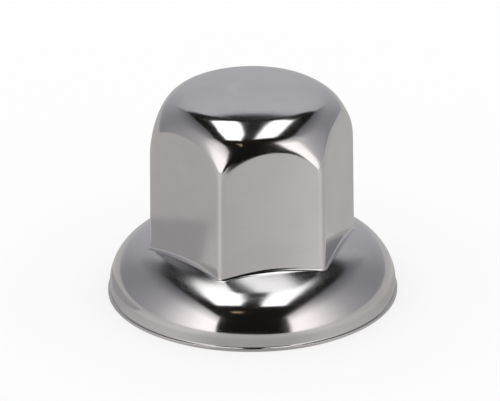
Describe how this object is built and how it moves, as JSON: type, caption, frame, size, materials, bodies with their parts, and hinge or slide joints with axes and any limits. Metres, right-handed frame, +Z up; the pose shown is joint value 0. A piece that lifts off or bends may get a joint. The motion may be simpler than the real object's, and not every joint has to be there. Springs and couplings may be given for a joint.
{
  "type": "lug nut cover",
  "caption": "Polished steel push-on cover for a wheel nut: a round crown over a hexagonal socket that opens into a bell-shaped flange with a small lip.",
  "frame": {"origin": "centre of the rim, on the plane that the cover stands on", "axes": "+Z up through the crown along the hexagon's axis; two opposite corners of the hexagon lie on X and two flats face along Y"},
  "size_m": [0.0534, 0.0534, 0.0406],
  "materials": {
    "polished_steel": "mirror-polished stainless steel with very fine polishing haze"
  },
  "bodies": {
    "root": {"nut_cover": "polished_steel"}
  },
  "joints": []
}
